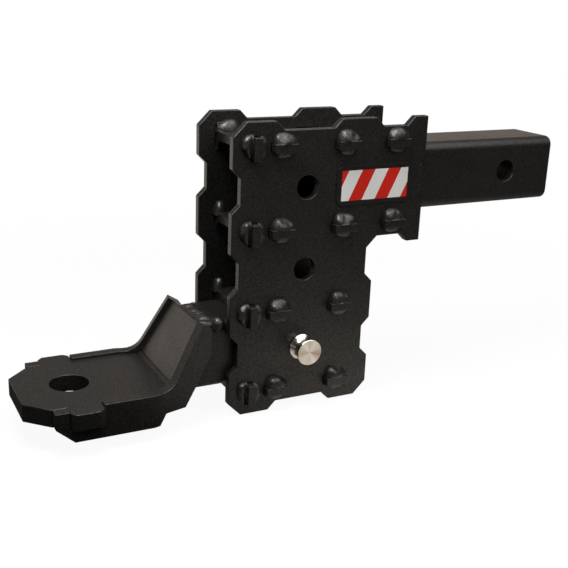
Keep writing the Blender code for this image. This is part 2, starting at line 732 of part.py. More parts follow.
def main():
    clear_scene()
    coat = material("black powder coat", (0.018, 0.017, 0.016), 0.5, 0.0)
    weld = material("coated weld", (0.022, 0.021, 0.02), 0.32, 0.0)
    stainless = material("turned stainless", (0.72, 0.69, 0.64), 0.25, 1.0)
    brass = material("lock brass", (0.55, 0.42, 0.2), 0.35, 1.0)
    rubber = material("cap rubber", (0.02, 0.02, 0.02), 0.7, 0.0)
    print_red = material("badge red", (0.55, 0.03, 0.02), 0.4, 0.0)

    drop_frame = axis_empty("drop_frame_axis", (-COLUMN_TO_SHANK_HOLE, 0, 0))
    mount = axis_empty("ball_mount_axis", (0, 0, hole_z(POCKETS - 1)), drop_frame)
    pin = axis_empty("hitch_pin_axis", (0, 0, hole_z(POCKETS - 1)), drop_frame)
    lock = axis_empty("lock_axis", (0, 0, hole_z(POCKETS - 1)), drop_frame)

    side_plate("right_side_plate", -1, drop_frame, coat)
    side_plate("left_side_plate", 1, drop_frame, coat)
    for i in range(POCKETS + 1):
        shelf(f"shelf_{i + 1}", i, drop_frame, coat)
        saddle(f"saddle_bar_{i + 1}", i, drop_frame, coat)
    shank(drop_frame, coat)
    shank_welds(drop_frame, weld)
    badge(drop_frame, print_red)

    ball_plate(mount, coat)
    cheek("right_cheek", -1, mount, coat)
    cheek("left_cheek", 1, mount, coat)
    mount_stem(mount, coat)
    riser_weld(mount, weld)
    cheek_weld("cheek_weld_right", -1, mount, weld)
    cheek_weld("cheek_weld_left", 1, mount, weld)

    hitch_pin(pin, stainless)
    lock_barrel(lock, stainless)
    lock_plug(lock, brass)
    lock_cap(lock, rubber)


main()
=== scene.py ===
import math

import bmesh
import bpy
from mathutils import Matrix, Vector, noise


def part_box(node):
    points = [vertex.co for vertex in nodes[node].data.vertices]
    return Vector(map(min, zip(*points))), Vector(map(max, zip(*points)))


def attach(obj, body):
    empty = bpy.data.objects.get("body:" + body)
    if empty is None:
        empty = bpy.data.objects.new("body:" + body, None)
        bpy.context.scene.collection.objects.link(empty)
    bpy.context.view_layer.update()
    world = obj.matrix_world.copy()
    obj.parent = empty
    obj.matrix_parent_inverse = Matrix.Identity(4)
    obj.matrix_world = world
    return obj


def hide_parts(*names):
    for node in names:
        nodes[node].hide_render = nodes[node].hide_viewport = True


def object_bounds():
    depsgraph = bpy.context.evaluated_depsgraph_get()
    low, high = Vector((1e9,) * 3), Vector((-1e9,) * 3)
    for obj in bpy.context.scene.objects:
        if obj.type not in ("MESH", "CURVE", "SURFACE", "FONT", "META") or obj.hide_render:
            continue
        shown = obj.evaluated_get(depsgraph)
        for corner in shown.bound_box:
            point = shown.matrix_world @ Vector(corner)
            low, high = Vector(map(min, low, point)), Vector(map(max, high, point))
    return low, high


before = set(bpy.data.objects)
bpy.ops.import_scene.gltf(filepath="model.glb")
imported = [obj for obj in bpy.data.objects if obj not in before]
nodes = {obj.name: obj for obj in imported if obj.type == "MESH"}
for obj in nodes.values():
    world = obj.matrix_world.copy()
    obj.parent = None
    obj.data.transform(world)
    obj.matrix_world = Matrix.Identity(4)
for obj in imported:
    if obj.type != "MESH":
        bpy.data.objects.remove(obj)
cadLow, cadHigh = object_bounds()
mm = 0.001
axisX, axisY, axisZ = Vector((1, 0, 0)), Vector((0, 1, 0)), Vector((0, 0, 1))


# Node tree helpers

def newMaterial(name):
    made = bpy.data.materials.new(name)
    made.use_nodes = True
    tree = made.node_tree
    return made, tree, tree.nodes["Principled BSDF"]


def addNode(tree, kind, **values):
    made = tree.nodes.new(kind)
    for name, value in values.items():
        if hasattr(made, name):
            setattr(made, name, value)
        else:
            made.inputs[name].default_value = value
    return made


def feed(tree, socket, value):
    if hasattr(value, "is_linked"):  # the output of another node
        tree.links.new(value, socket)
    else:
        socket.default_value = value


def objectPlace(tree):
    return addNode(tree, "ShaderNodeTexCoord").outputs["Object"]


def splitAxes(tree, vector):
    made = addNode(tree, "ShaderNodeSeparateXYZ")
    feed(tree, made.inputs["Vector"], vector)
    return made.outputs


def maths(tree, operation, *values):
    made = addNode(tree, "ShaderNodeMath", operation=operation)
    for socket, value in zip(made.inputs, values):
        feed(tree, socket, value)
    return made.outputs["Value"]


def vectorMaths(tree, operation, one, two, result):
    made = addNode(tree, "ShaderNodeVectorMath", operation=operation)
    feed(tree, made.inputs[0], one)
    feed(tree, made.inputs[1], two)
    return made.outputs[result]


def noiseAt(tree, place, scale, detail, roughness=0.55):
    made = addNode(tree, "ShaderNodeTexNoise", Scale=scale, Detail=detail, Roughness=roughness)
    feed(tree, made.inputs["Vector"], place)
    return made.outputs["Fac"]


def ramp(tree, value, stops, steps="LINEAR"):
    made = addNode(tree, "ShaderNodeValToRGB")
    made.color_ramp.interpolation = steps
    elements = made.color_ramp.elements
    while len(elements) < len(stops):
        elements.new(0.5)
    for element, (place, colour) in zip(elements, stops):
        element.position = place
        element.color = (*colour, 1.0)
    feed(tree, made.inputs["Fac"], value)
    return made.outputs["Color"]


def twoTone(tree, value, dark, light, start=0.3, end=0.7):
    return ramp(tree, value, [(start, dark), (end, light)])


def spread(tree, value, low, high, start=0.0, end=1.0, curve="LINEAR"):
    made = addNode(tree, "ShaderNodeMapRange", interpolation_type=curve)
    for name, number in (("From Min", start), ("From Max", end), ("To Min", low), ("To Max", high)):
        made.inputs[name].default_value = number
    feed(tree, made.inputs["Value"], value)
    return made.outputs["Result"]


def graded(tree, value, start, end, low, high):
    return spread(tree, value, low, high, start, end, "SMOOTHSTEP")


def mixed(tree, factor, one, two, kind="RGBA", blend="MIX"):
    made = addNode(tree, "ShaderNodeMix", data_type=kind, blend_type=blend)
    for name, value in (("Factor", factor), ("A", one), ("B", two)):
        feed(tree, made.inputs[name], value)
    return made.outputs["Result"]


def addBump(tree, shader, height, strength, deep):
    bump = addNode(tree, "ShaderNodeBump", Strength=strength, Distance=deep)
    feed(tree, bump.inputs["Height"], height)
    feed(tree, shader.inputs["Normal"], bump.outputs["Normal"])


# Mesh helpers

def makeObject(name, bm, finish, body, replaced=()):
    mesh = bpy.data.meshes.new(name)
    bmesh.ops.recalc_face_normals(bm, faces=bm.faces)
    bm.to_mesh(mesh)
    bm.free()
    made = bpy.data.objects.new(name, mesh)
    bpy.context.scene.collection.objects.link(made)
    mesh.materials.append(finish)
    mesh.shade_smooth()
    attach(made, body)
    if replaced:
        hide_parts(*replaced)
    return made


def roundEdges(made, width, segments=3, over=40):
    bevel = made.modifiers.new("rounded edges", "BEVEL")
    bevel.width = width
    bevel.segments = segments
    bevel.limit_method = "ANGLE"
    bevel.angle_limit = math.radians(over)
    bevel.use_clamp_overlap = False
    level = made.modifiers.new("level faces", "WEIGHTED_NORMAL")  # flat faces shade flat up to their rounding
    level.mode = "FACE_AREA"
    level.weight = 100
    level.keep_sharp = True
    return made


def smoothUnder(bm, angle):
    for edge in bm.edges:
        edge.smooth = edge.calc_face_angle(0) < math.radians(angle)


cleaned = {"merge": 0.005 * mm, "flatAngle": 0.6}


def cleanCopy(node):
    bm = bmesh.new()
    bm.from_mesh(nodes[node].data)
    bmesh.ops.remove_doubles(bm, verts=bm.verts, dist=cleaned["merge"])
    flat = math.radians(cleaned["flatAngle"])
    bmesh.ops.dissolve_limit(bm, angle_limit=flat, verts=bm.verts, edges=bm.edges)
    return bm


def loopBox(loop):
    low = Vector([min(point[i] for point in loop) for i in range(3)])
    high = Vector([max(point[i] for point in loop) for i in range(3)])
    return low, high


def loopOrder(loop):
    return [round(part / mm, 1) for part in loopBox(loop)[0]]


def boundaryLoops(bm):
    left = {edge for edge in bm.edges if len(edge.link_faces) == 1}
    loops = []
    while left:
        edge = left.pop()
        loop = [edge.verts[0], edge.verts[1]]
        while loop[-1] is not loop[0]:
            step = next(e for e in loop[-1].link_edges if e in left)
            left.remove(step)
            loop.append(step.other_vert(loop[-1]))
        loops.append([vert.co.copy() for vert in loop[:-1]])
    return sorted(loops, key=loopOrder)  # the same order each run, so each bead keeps its seed


# Finishes

coatGrain = {"cloud": 14, "patch": 60, "speck": 760, "speckDim": (0.35, 0.35, 0.35),
             "speckLit": (1.9, 1.9, 1.9), "speckStart": 0.36, "speckEnd": 0.66, "peel": 700,
             "peelDeep": 0.3 * mm, "glint": 900}
coatLook = {"dark": (0.0048, 0.0046, 0.0043), "light": (0.0076, 0.0071, 0.0066), "specular": 0.5,
            "rough": (0.38, 0.5), "bump": 0.55}
barLook = {**coatLook, "bump": 0.5}
mountLook = {**barLook, "rough": (0.42, 0.53)}
weldLook = {"dark": (0.0058, 0.0056, 0.0054), "light": (0.009, 0.0087, 0.0084), "specular": 0.65,
            "rough": (0.38, 0.48), "bump": 0.4}


def powderCoat(name, look):
    made, tree, shader = newMaterial(name)
    place = objectPlace(tree)
    base = twoTone(tree, noiseAt(tree, place, coatGrain["cloud"], detail=4), look["dark"], look["light"])
    specks = noiseAt(tree, place, coatGrain["speck"], detail=2, roughness=0.6)
    shade = twoTone(tree, specks, coatGrain["speckDim"], coatGrain["speckLit"],
                    coatGrain["speckStart"], coatGrain["speckEnd"])
    feed(tree, shader.inputs["Base Color"], mixed(tree, 1.0, base, shade, blend="MULTIPLY"))
    patches = noiseAt(tree, place, coatGrain["patch"], detail=5)
    feed(tree, shader.inputs["Roughness"], spread(tree, patches, *look["rough"]))
    peel = noiseAt(tree, place, coatGrain["peel"], detail=2)
    addBump(tree, shader, peel, look["bump"], coatGrain["peelDeep"])
    glints = noiseAt(tree, place, coatGrain["glint"], detail=2)  # pitted, so it glints in grains
    shader.inputs["Specular IOR Level"].default_value = look["specular"]
    feed(tree, shader.inputs["Specular IOR Level"], spread(tree, glints, 0.0, 2 * look["specular"]))
    return made


# Each lobe is a share of a turn, and how bright the painted fan highlight is there
brushedWithPaintedFans = {"tan": Vector((0.48, 0.37, 0.25)), "paintedFanHighlight": Vector((1.0, 0.97, 0.92)), "rings": 5200,
           "ringDim": (0.9, 0.9, 0.9), "ringLit": (1.0, 1.0, 1.0), "rough": (0.24, 0.36), "drawn": 0.9,
           "paintedFanLobes": [(0.0, 0.3), (0.14, 0.9), (0.25, 0.6), (0.335, 1.0), (0.46, 0.1), (0.65, 1.0),
                     (0.765, 0.5), (0.845, 1.0), (1.0, 0.3)]}


# Turned steel with painted highlights: bright fans painted into the base colour by angle about the axis,
# under real ring grain and anisotropy
def turnedSteelWithPaintedFans(centre):
    made, tree, shader = newMaterial("turned stainless")
    away = vectorMaths(tree, "SUBTRACT", objectPlace(tree), centre, "Vector")
    parts = splitAxes(tree, away)
    face = addNode(tree, "ShaderNodeCombineXYZ")
    feed(tree, face.inputs["X"], parts["X"])
    feed(tree, face.inputs["Y"], parts["Z"])
    turn = addNode(tree, "ShaderNodeTexGradient", gradient_type="RADIAL")
    feed(tree, turn.inputs["Vector"], face.outputs["Vector"])
    stops = [(at, brushedWithPaintedFans["tan"].lerp(brushedWithPaintedFans["paintedFanHighlight"], share)) for at, share in brushedWithPaintedFans["paintedFanLobes"]]
    paintedFans = ramp(tree, turn.outputs["Fac"], stops)  # painted highlight: the turned face's bright fans painted into the base colour by angle
    rings = noiseAt(tree, away, brushedWithPaintedFans["rings"], detail=2)
    shade = twoTone(tree, rings, brushedWithPaintedFans["ringDim"], brushedWithPaintedFans["ringLit"])
    feed(tree, shader.inputs["Base Color"], mixed(tree, 1.0, paintedFans, shade, blend="MULTIPLY"))
    feed(tree, shader.inputs["Roughness"], spread(tree, rings, *brushedWithPaintedFans["rough"]))
    shader.inputs["Metallic"].default_value = 1.0
    shader.inputs["Anisotropic"].default_value = brushedWithPaintedFans["drawn"]
    lathe = addNode(tree, "ShaderNodeTangent", direction_type="RADIAL", axis="Y")
    feed(tree, shader.inputs["Tangent"], lathe.outputs["Tangent"])
    return made


metalGrain = {"cloud": 400, "roughSwing": 0.06}


def plainMetal(name, dark, light, rough):
    made, tree, shader = newMaterial(name)
    cloud = noiseAt(tree, objectPlace(tree), metalGrain["cloud"], detail=4)
    swing = metalGrain["roughSwing"]
    feed(tree, shader.inputs["Base Color"], twoTone(tree, cloud, dark, light))
    feed(tree, shader.inputs["Roughness"], spread(tree, cloud, rough - swing, rough + swing))
    shader.inputs["Metallic"].default_value = 1.0
    return made


rubberLook = {"dark": (0.014, 0.014, 0.014), "light": (0.024, 0.024, 0.025), "grain": 900,
              "rough": (0.6, 0.75), "bump": 0.15, "bumpDeep": 0.2 * mm}


def capRubber():
    made, tree, shader = newMaterial("cap rubber")
    cloud = noiseAt(tree, objectPlace(tree), rubberLook["grain"], detail=4)
    feed(tree, shader.inputs["Base Color"], twoTone(tree, cloud, rubberLook["dark"], rubberLook["light"]))
    feed(tree, shader.inputs["Roughness"], spread(tree, cloud, *rubberLook["rough"]))
    addBump(tree, shader, cloud, rubberLook["bump"], rubberLook["bumpDeep"])
    return made


plateCoat = powderCoat("black powder coat", coatLook)
barCoat = powderCoat("black powder coat on bar", barLook)
mountCoat = powderCoat("black powder coat on ball mount", mountLook)
weldCoat = powderCoat("glossy coat on welds", weldLook)
polished = plainMetal("polished stainless", dark=(0.74, 0.69, 0.63), light=(0.84, 0.79, 0.73), rough=0.23)
lockSteel = plainMetal("lock steel", dark=(0.5, 0.49, 0.47), light=(0.62, 0.61, 0.58), rough=0.32)
plugBrass = plainMetal("plug brass", dark=(0.5, 0.36, 0.15), light=(0.62, 0.47, 0.22), rough=0.3)
rubber = capRubber()
print("finishes made")


# Plates, shelves and bars with their edges rounded as the coat rounds them

onFace = 0.05 * mm  # points nearer than this lie in one plane
sidePlate = {"thick": 6.0 * mm, "round": 0.7 * mm}
plateSides = {"right_side_plate": -1, "left_side_plate": 1}


def plateShell(node, side):
    low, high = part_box(node)
    inner = low.y if side > 0 else high.y
    outer = inner + side * sidePlate["thick"]
    bm = cleanCopy(node)
    for face in [f for f in bm.faces if any(abs(v.co.y - inner) > onFace for v in f.verts)]:
        bm.faces.remove(face)
    for edge in [e for e in bm.edges if not e.link_faces]:
        bm.edges.remove(edge)
    for vert in [v for v in bm.verts if not v.link_edges]:
        bm.verts.remove(vert)
    loops = boundaryLoops(bm)
    grown = bmesh.ops.extrude_face_region(bm, geom=bm.faces[:])
    for vert in [g for g in grown["geom"] if isinstance(g, bmesh.types.BMVert)]:
        vert.co.y = outer
    made = makeObject(node + "_dressed", bm, plateCoat, "drop_frame", [node])
    roundEdges(made, sidePlate["round"])
    return loops, outer


plateLoops = {node: plateShell(node, side) for node, side in plateSides.items()}

barRound = {"shelf": 0.5 * mm, "saddle_bar": 0.6 * mm, "shank": 0.6 * mm, "mount_stem": 0.5 * mm}


def dressBar(node, finish, body, width):
    made = makeObject(node + "_dressed", cleanCopy(node), finish, body, [node])
    return roundEdges(made, width)


for kind in ("shelf", "saddle_bar"):
    for node in sorted(name for name in nodes if name.startswith(kind + "_")):
        dressBar(node, plateCoat, "drop_frame", barRound[kind])
dressBar("shank", barCoat, "drop_frame", barRound["shank"])
dressBar("mount_stem", barCoat, "ball_mount", barRound["mount_stem"])

cheekEdge = {"round": 0.35 * mm, "segments": 2, "over": 50, "softUnder": 20,
             "railLow": -134.8 * mm, "faceUp": 0.35, "faceRear": 0.1, "taller": 0.8 * mm}


def isRailTop(face):
    facing = face.normal.z > cheekEdge["faceUp"] and face.normal.x < cheekEdge["faceRear"]
    return facing and face.calc_center_median().z > cheekEdge["railLow"]


def raiseRail(bm):
    moves = {}
    for face in filter(isRailTop, bm.faces):
        for vert in face.verts:
            moves[vert] = moves.get(vert, Vector()) + face.normal
    for vert, move in moves.items():
        vert.co += move.normalized() * cheekEdge["taller"]


def dressCheek(node):
    bm = cleanCopy(node)
    bm.normal_update()
    raiseRail(bm)
    bm.normal_update()
    smoothUnder(bm, cheekEdge["softUnder"])
    made = makeObject(node + "_dressed", bm, mountCoat, "ball_mount", [node])
    return roundEdges(made, cheekEdge["round"], cheekEdge["segments"], cheekEdge["over"])


dressCheek("right_cheek")
dressCheek("left_cheek")

pressMark = {"half": 0.6 * mm, "depth": 0.8 * mm, "shortest": 40 * mm, "faceUp": 0.4, "onLine": 0.2 * mm}
sideTab = {"round": 1.6 * mm, "segments": 3, "band": 1 * mm}
ballEdge = {"round": 0.4 * mm, "segments": 2, "over": 60, "softUnder": 3}


def pressBends(bm):
    bends = []
    marks = []
    for edge in bm.edges:
        upper = len(edge.link_faces) == 2 and all(f.normal.z > pressMark["faceUp"] for f in edge.link_faces)
        if upper and abs(edge.verts[1].co.y - edge.verts[0].co.y) > pressMark["shortest"]:
            bends.append(edge)
            normal = edge.link_faces[0].normal + edge.link_faces[1].normal
            marks.append((edge.verts[0].co.x, normal.normalized()))
    made = bmesh.ops.bevel(bm, geom=bends, offset=pressMark["half"], segments=2, profile=0.5, affect="EDGES")
    for vert in made["verts"]:
        for x, normal in marks:
            if abs(vert.co.x - x) < pressMark["onLine"]:
                vert.co -= normal * pressMark["depth"]  # the mark's middle is pressed in
    return len(bends)


def softenTabs(bm):
    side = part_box("ball_plate")[1].y
    outer = [e for e in bm.edges if all(side - abs(v.co.y) < onFace for v in e.verts)]
    top = max(v.co.z for e in outer for v in e.verts) - sideTab["band"]
    rear = max(v.co.x for e in outer for v in e.verts) - sideTab["band"]
    soft = [e for e in outer if all(v.co.z < top for v in e.verts) or all(v.co.x > rear for v in e.verts)]
    bmesh.ops.bevel(bm, geom=soft, offset=sideTab["round"], segments=sideTab["segments"], profile=0.5,
                    affect="EDGES")


def ballPlate():
    bm = cleanCopy("ball_plate")
    bm.normal_update()
    bends = pressBends(bm)
    softenTabs(bm)
    smoothUnder(bm, ballEdge["softUnder"])
    plate = makeObject("ball_plate_dressed", bm, mountCoat, "ball_mount", ["ball_plate"])
    roundEdges(plate, ballEdge["round"], ballEdge["segments"], ballEdge["over"])
    return bends


print("press marks on the ball plate:", ballPlate())
print("plates and bars dressed")


# Welds: a fillet between two faces that meet at a corner line, laid in soft ripples

def closeRings(bm, rings):
    count = len(rings[0])
    for one, two in zip(rings, rings[1:]):
        for j in range(count):
            k = (j + 1) % count
            bm.faces.new((one[j], one[k], two[k], two[j]))
    bm.faces.new(rings[0])
    bm.faces.new(rings[-1])


fillet = {"span": 0.998, "sink": 0.3 * mm, "bow": 0.3, "footLump": 0.35, "lumpTurn": 0.7, "lumpSeed": 3.1,
          "tuckPower": 6, "crease": 55}


def addFillet(bm, middle, along, sideA, sideB, bead, seed):
    steps, around, legA, legB, flat = (bead[name] for name in ("steps", "around", "legA", "legB", "flat"))
    tuck, peak = bead.get("tuck", 0.0), bead.get("peak", 0.0)
    sink, footLump = fillet["sink"], fillet["footLump"]
    rings = []
    for i in range(steps + 1):
        u = fillet["span"] * math.sin(math.pi / 2 * (2 * i / steps - 1))
        run = u * bead["length"] / 2
        side = (u - peak) / (1 + peak if u < peak else 1 - peak)
        fall = (1 - abs(side) ** bead["fall"]) ** 0.5
        line = middle + along * run
        ring = [line - sideA * sink - sideB * sink, line + sideA * (legA * fall) - sideB * sink]
        for j in range(around + 1):
            v = math.pi / 2 * j / around
            crown = math.sin(2 * v)  # ripples are bowed and fade out at both feet
            phase = 2 * math.pi * (run / bead["ripple"] + fillet["bow"] * crown) + seed
            wave = 1 - bead["depth"] * crown * (0.5 + 0.5 * math.cos(phase))
            spot = Vector((run / bead["blob"] + seed * fillet["lumpSeed"], v * fillet["lumpTurn"], seed))
            lump = bead["lump"] * noise.noise(spot) * (footLump + (1 - footLump) * crown)
            size = fall * wave * (1 + lump)
            reach = legA * size * max(0.0, math.cos(v)) ** flat
            rise = legB * size * math.sin(v) ** flat * (1 - tuck * math.sin(v) ** fillet["tuckPower"])
            ring.append(line + sideA * reach + sideB * rise)
        ring.append(line + sideB * (legB * fall * (1 - tuck)) - sideA * sink)
        rings.append([bm.verts.new(point) for point in ring])
    closeRings(bm, rings)


def weldObject(name, bm, body, replaced=()):
    made = makeObject(name, bm, weldCoat, body, replaced)
    made.data.set_sharp_from_angle(angle=math.radians(fillet["crease"]))  # feet stay crisp against the plate
    return made


tabSlot = {"corners": 8, "longest": 30 * mm, "inset": 0.3 * mm}
tabSeed = {"right_side_plate": 5.9, "left_side_plate": 4.3, "step": 1.37}
tabBead = {"length": 18.5 * mm, "legA": 7.6 * mm, "legB": 6.6 * mm, "ripple": 6.0 * mm, "depth": 0.05,
           "lump": 0.35, "blob": 8.0 * mm, "fall": 2.1, "flat": 0.95, "tuck": 0.0, "peak": -0.35,
           "shift": 1.0 * mm, "steps": 36, "around": 14}
uprightBead = {**tabBead, "length": 16.5 * mm, "fall": 2.4, "lump": 0.3, "tuck": 0.5, "peak": 0.2,
               "shift": 1.8 * mm}
rightBead = {**uprightBead, "legA": 6.2 * mm, "legB": 4.6 * mm, "lump": 0.2, "flat": 1.0, "tuck": 0.0,
             "peak": 0.0, "shift": 0.5 * mm}
lowerBead = {**rightBead, "length": 14.0 * mm, "legA": 4.9 * mm, "legB": 3.2 * mm}


def tabWelds(node, side):
    loops, outer = plateLoops[node]
    bm = bmesh.new()
    seed = tabSeed[node]
    for loop in loops:
        low, high = loopBox(loop)
        wide, tall = high.x - low.x, high.z - low.z
        if len(loop) > tabSlot["corners"] or max(wide, tall) > tabSlot["longest"]:
            continue  # a pin hole or the plate's own outline
        middle = (low + high) / 2
        upright = tall > wide
        along = axisZ if upright else axisX
        across = axisX if upright else axisZ
        half = (wide if upright else tall) / 2 - tabSlot["inset"]
        for way in (-1, 1):
            seed += tabSeed["step"]
            foot = Vector((middle.x, outer, middle.z)) + across * (way * half)
            if upright:
                bead = uprightBead if way < 0 else rightBead
            else:
                bead = lowerBead if way < 0 else tabBead
            addFillet(bm, foot + along * bead["shift"], along, across * way, axisY * side, bead, seed)
    return weldObject(node + "_tab_welds", bm, "drop_frame")


for node, side in plateSides.items():
    tabWelds(node, side)

insideSeed = {"start": 1.9, "step": 0.83}
insideBead = {"length": 10.0 * mm, "legA": 6.4 * mm, "legB": 10.0 * mm, "ripple": 6.0 * mm, "depth": 0.02,
              "lump": 0.2, "blob": 7.0 * mm, "fall": 2.2, "flat": 0.9, "steps": 26, "around": 10,
              "drop": 8.5 * mm}
shelfBead = {**insideBead, "length": 20 * mm, "legA": 7.0 * mm, "legB": 8.4 * mm, "start": 7.2 * mm}


def insideWelds():
    bm = bmesh.new()
    seed = insideSeed["start"]
    inner = plateLoops["left_side_plate"][1] - sidePlate["thick"]
    for side in (-1, 1):
        low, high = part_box("shelf_1")
        foot = Vector((low.x - shelfBead["start"] + shelfBead["length"] / 2, side * inner, high.z))
        addFillet(bm, foot, axisX, axisY * -side, axisZ, shelfBead, seed + side)
        for node in ("saddle_bar_2", "saddle_bar_3"):
            low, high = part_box(node)
            seed += insideSeed["step"]
            foot = Vector(((low.x + high.x) / 2, side * inner, high.z - insideBead["drop"]))
            addFillet(bm, foot, axisX, axisY * -side, axisZ, insideBead, seed)
    return weldObject("inside_welds", bm, "drop_frame")


insideWelds()

shankBead = {"ripple": 3.4 * mm, "depth": 0.1, "lump": 0.15, "blob": 9.0 * mm, "fall": 8, "flat": 1.1,
             "steps": 90, "around": 8}
shankSeed = Vector((900, 0, 500))  # the seed follows the weld's place


def shankWeld(node, along, sideA, sideB):
    low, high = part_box(node)
    bm = bmesh.new()
    corner = (low + high) / 2
    for axis in (sideA, sideB):
        for i in range(3):
            if axis[i] > 0:
                corner[i] = low[i]
            if axis[i] < 0:
                corner[i] = high[i]
    size = high - low
    ways = {"length": along, "legA": sideA, "legB": sideB}
    lengths = {name: abs(size.dot(axis)) for name, axis in ways.items()}
    addFillet(bm, corner, along, sideA, sideB, {**shankBead, **lengths}, low.dot(shankSeed))
    return weldObject(node + "_dressed", bm, "drop_frame", [node])


shankWeld("shank_weld_right", axisZ, axisX, -axisY)
shankWeld("shank_weld_left", axisZ, axisX, axisY)
shankWeld("shank_weld_top", axisY, axisX, axisZ)
shankWeld("shank_weld_bottom", axisY, axisX, -axisZ)

riserBead = {"left": 17.5 * mm, "right": -24.2 * mm, "stations": 80, "around": 12, "crest": 1.3 * mm,
             "rear": 5.0 * mm, "step": 0.2 * mm, "lap": 0.2 * mm, "corner": 7.0 * mm, "endFall": 6,
             "swell": 0.8, "ripple": 5.4 * mm, "depth": 0.6 * mm, "bow": 0.4, "scallop": 1.2 * mm,
             "lump": 1.0 * mm, "blob": 5.0 * mm, "lumpTurn": 1.6, "seed": 2.7, "sink": 1.0 * mm,
             "rearIn": 1.0 * mm, "frontIn": 0.8 * mm}


def riserWeld():
    low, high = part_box("riser_weld")
    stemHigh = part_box("mount_stem")[1]
    corner = riserBead["corner"]
    bm = bmesh.new()
    rings = []
    for i in range(riserBead["stations"] + 1):
        share = i / riserBead["stations"]
        y = riserBead["right"] + (riserBead["left"] - riserBead["right"]) * share
        over = max(0.0, abs(y) - stemHigh.y + corner)
        top = stemHigh.z - corner + (corner ** 2 - over ** 2) ** 0.5
        ends = (1 - abs(2 * share - 1) ** riserBead["endFall"]) ** 0.5
        front = Vector((low.x - riserBead["lap"], y, top + riserBead["step"]))
        rear = Vector((high.x - riserBead["rear"], y, top))
        ring = []
        for j in range(riserBead["around"] + 1):
            t = j / riserBead["around"]
            swell = math.sin(math.pi * t) ** riserBead["swell"]
            wave = math.cos(2 * math.pi * (y / riserBead["ripple"] + riserBead["bow"] * t))
            lump = noise.noise(Vector((y / riserBead["blob"], t * riserBead["lumpTurn"], riserBead["seed"])))
            lift = riserBead["crest"] + riserBead["depth"] * wave + riserBead["lump"] * lump
            toe = riserBead["scallop"] * wave * t * ends  # scalloped rear foot
            ring.append(front.lerp(rear, t) + Vector((toe, 0, lift * swell * ends)))
        ring.append(Vector((rear.x - riserBead["rearIn"], y, top - riserBead["sink"])))
        ring.append(Vector((front.x + riserBead["frontIn"], y, top - riserBead["sink"])))
        rings.append([bm.verts.new(point) for point in ring])
    closeRings(bm, rings)
    return weldObject("riser_weld_dressed", bm, "ball_mount", ["riser_weld"])


riserWeld()

cheekBead = {"forward": 8.2 * mm, "inward": 2.4 * mm, "rise": {-1: 4.2 * mm, 1: 0.0},
             "lumpHalf": Vector((5.2, 5.0, 5.6)) * mm, "tailHalf": 1.2 * mm, "tailTip": 0.05,
             "tailGrow": 2 * mm, "least": 0.02 * mm, "rough": 0.16, "grain": 2.8 * mm, "seed": 7,
             "steps": 24, "around": 28}


def cheekWeld(node, side):
    low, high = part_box(node)
    stemSide = high.y if side < 0 else low.y
    half, tail, steps = cheekBead["lumpHalf"], cheekBead["tailHalf"], cheekBead["steps"]
    middle = Vector((low.x + cheekBead["forward"], stemSide - side * cheekBead["inward"],
                     high.z + cheekBead["rise"][side]))
    heights = [low.z + (middle.z - half.z - low.z) * i / steps for i in range(steps)]
    heights += [middle.z - half.z * math.cos(math.pi * i / steps) for i in range(steps + 1)]
    bm = bmesh.new()
    rings = []
    for z in heights:
        bulge = max(0.0, 1 - ((z - middle.z) / half.z) ** 2) ** 0.5
        below = z < middle.z
        run = tail * min(1.0, cheekBead["tailTip"] + (z - low.z) / cheekBead["tailGrow"]) * below
        sizeX = max(half.x * bulge, run) + cheekBead["least"]
        sizeY = max(half.y * bulge, run) + cheekBead["least"]
        lean = bulge if below else 1.0  # the tail stays on the stem's edge
        centre = Vector((low.x + tail, stemSide, z)).lerp(Vector((middle.x, middle.y, z)), lean)
        ring = []
        for j in range(cheekBead["around"]):
            angle = 2 * math.pi * j / cheekBead["around"]
            way = Vector((sizeX * math.cos(angle), sizeY * math.sin(angle), 0))
            rough = noise.noise((centre + way) / cheekBead["grain"] + axisZ * (side * cheekBead["seed"]))
            ring.append(bm.verts.new(centre + way * (1 + cheekBead["rough"] * rough)))
        rings.append(ring)
    closeRings(bm, rings)
    return weldObject(node + "_dressed", bm, "ball_mount", [node])


cheekWeld("cheek_weld_right", -1)
cheekWeld("cheek_weld_left", 1)
print("welds laid")


# Hitch pin, turned about its axis, and its lock

turned = {"sides": 72, "crease": 30}


def turnedPiece(name, profile, centre, finish, body, replaced):
    bm = bmesh.new()
    sides = turned["sides"]
    angles = [2 * math.pi * i / sides for i in range(sides)]
    rings = []
    for radius, y in profile:
        if radius == 0:
            rings.append([bm.verts.new((centre.x, y, centre.z))])
            continue
        points = [(centre.x + radius * math.cos(a), y, centre.z + radius * math.sin(a)) for a in angles]
        rings.append([bm.verts.new(point) for point in points])
    for one, two in zip(rings, rings[1:]):
        for i in range(sides):
            j = (i + 1) % sides
            corners = [one[i % len(one)], one[j % len(one)], two[j % len(two)], two[i % len(two)]]
            bm.faces.new(list(dict.fromkeys(corners)))  # a ring of one point gives triangles
    made = makeObject(name, bm, finish, body, replaced)
    made.data.set_sharp_from_angle(angle=math.radians(turned["crease"]))
    return made


pinLow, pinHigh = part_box("hitch_pin")
pinAxis = (pinLow + pinHigh) / 2
paintedFanSteel = turnedSteelWithPaintedFans(pinAxis)
knob = {"flange": 9.8 * mm, "disc": 9.75 * mm, "waist": 6.0 * mm, "rim": 1.8 * mm, "foot": 1.0 * mm,
        "edge": 0.4 * mm, "edgeCut": 0.15 * mm, "dish": 0.25 * mm, "hollow": 0.7, "steps": 18,
        "off": 0.3 * mm}
pinShaft = {"radius": 7.94 * mm, "neck": 5.5 * mm, "slopeStart": 9 * mm, "neckStart": 8 * mm,
            "neckEnd": 5 * mm, "slopeEnd": 4 * mm, "chamfer": 1.8 * mm}  # places are from the nose


